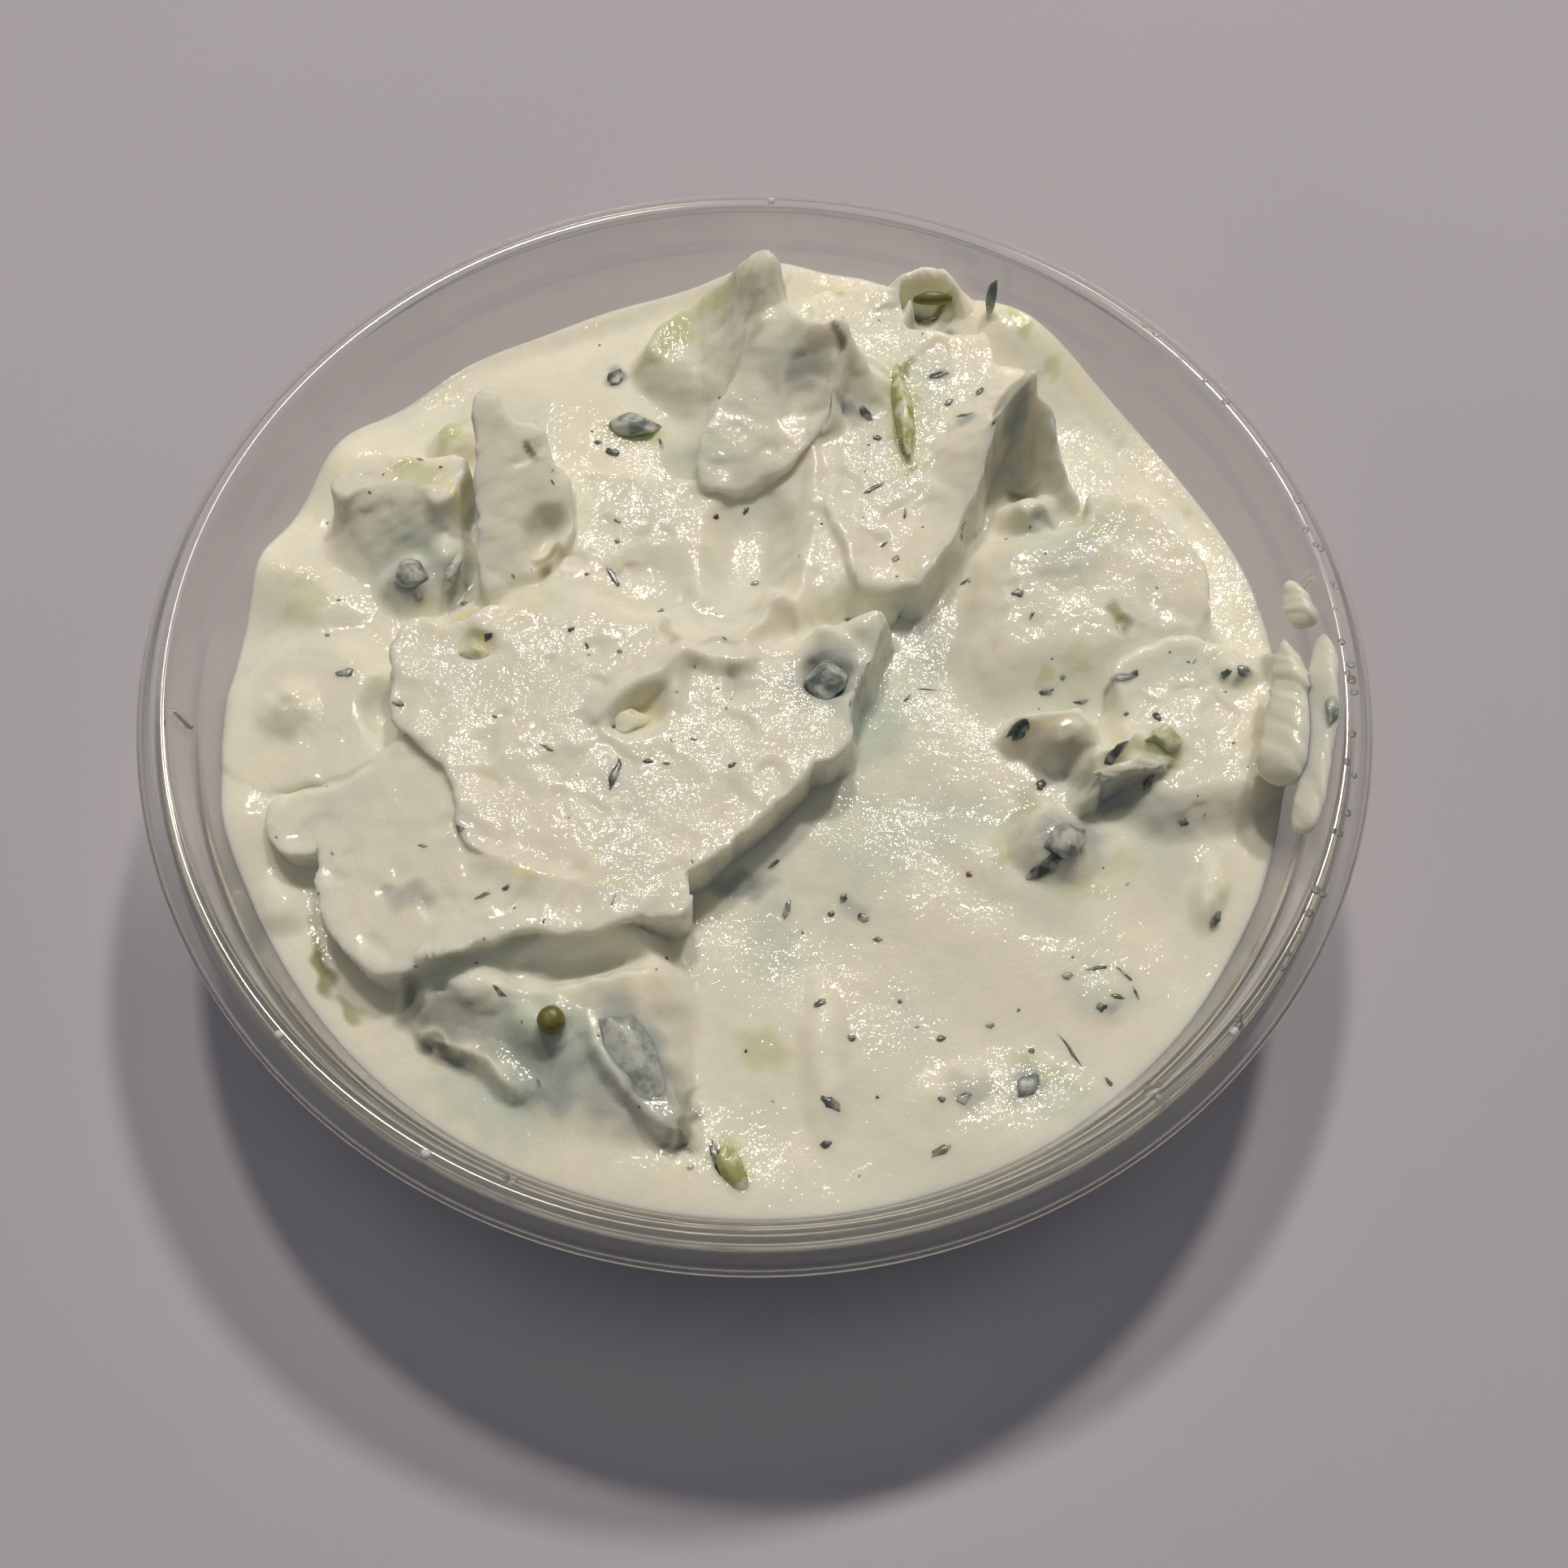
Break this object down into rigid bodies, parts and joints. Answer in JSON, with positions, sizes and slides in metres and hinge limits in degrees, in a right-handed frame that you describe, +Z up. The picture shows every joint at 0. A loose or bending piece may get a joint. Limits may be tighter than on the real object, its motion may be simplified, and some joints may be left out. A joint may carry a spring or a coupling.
{
  "type": "tzatziki dip in a clear round tub",
  "caption": "Thick yogurt and cucumber dip spooned into terraces, scoops and peaks in a shallow clear round takeaway tub with a rolled rim.",
  "frame": {"origin": "on the table at the middle of the tub's base", "axes": "+Z up through the open top, +Y away from the viewer of the picture, +X to the right"},
  "size_m": [0.118, 0.118, 0.0282],
  "materials": {
    "clear_tub": "clear thin moulded polypropylene, slightly milky, glossy",
    "yogurt": "wet strained yogurt, ivory, softly translucent with fine sparkles",
    "cucumber_peel": "wet dark green cucumber peel and dill, filmed with yogurt",
    "cucumber_flesh": "wet pale green cucumber flesh",
    "coated_cucumber": "cucumber under a thin film of yogurt, grey green",
    "olive_bit": "olive brown herb and seed, wet"
  },
  "bodies": {
    "root": {"tub": "clear_tub", "dip": "yogurt", "cucumber_chunk_middle": "cucumber_peel", "cucumber_leaf_front": "coated_cucumber", "cucumber_peel_right": "cucumber_peel", "cucumber_fold_right": "coated_cucumber", "cucumber_green_right": "cucumber_flesh", "cucumber_strip_back": "cucumber_flesh", "peel_sliver_back": "cucumber_peel", "peel_triangle_front": "cucumber_peel", "seed_front": "olive_bit", "cucumber_arc_back": "cucumber_peel", "cucumber_chunk_left": "cucumber_peel", "cucumber_blade_left": "cucumber_peel", "cucumber_crater": "cucumber_flesh", "cucumber_flap_back": "olive_bit", "peel_wedge_right": "cucumber_peel", "cucumber_oval_left": "cucumber_flesh", "rim_smear": "yogurt", "rim_dab": "yogurt", "rim_herb": "cucumber_peel"}
  },
  "joints": []
}
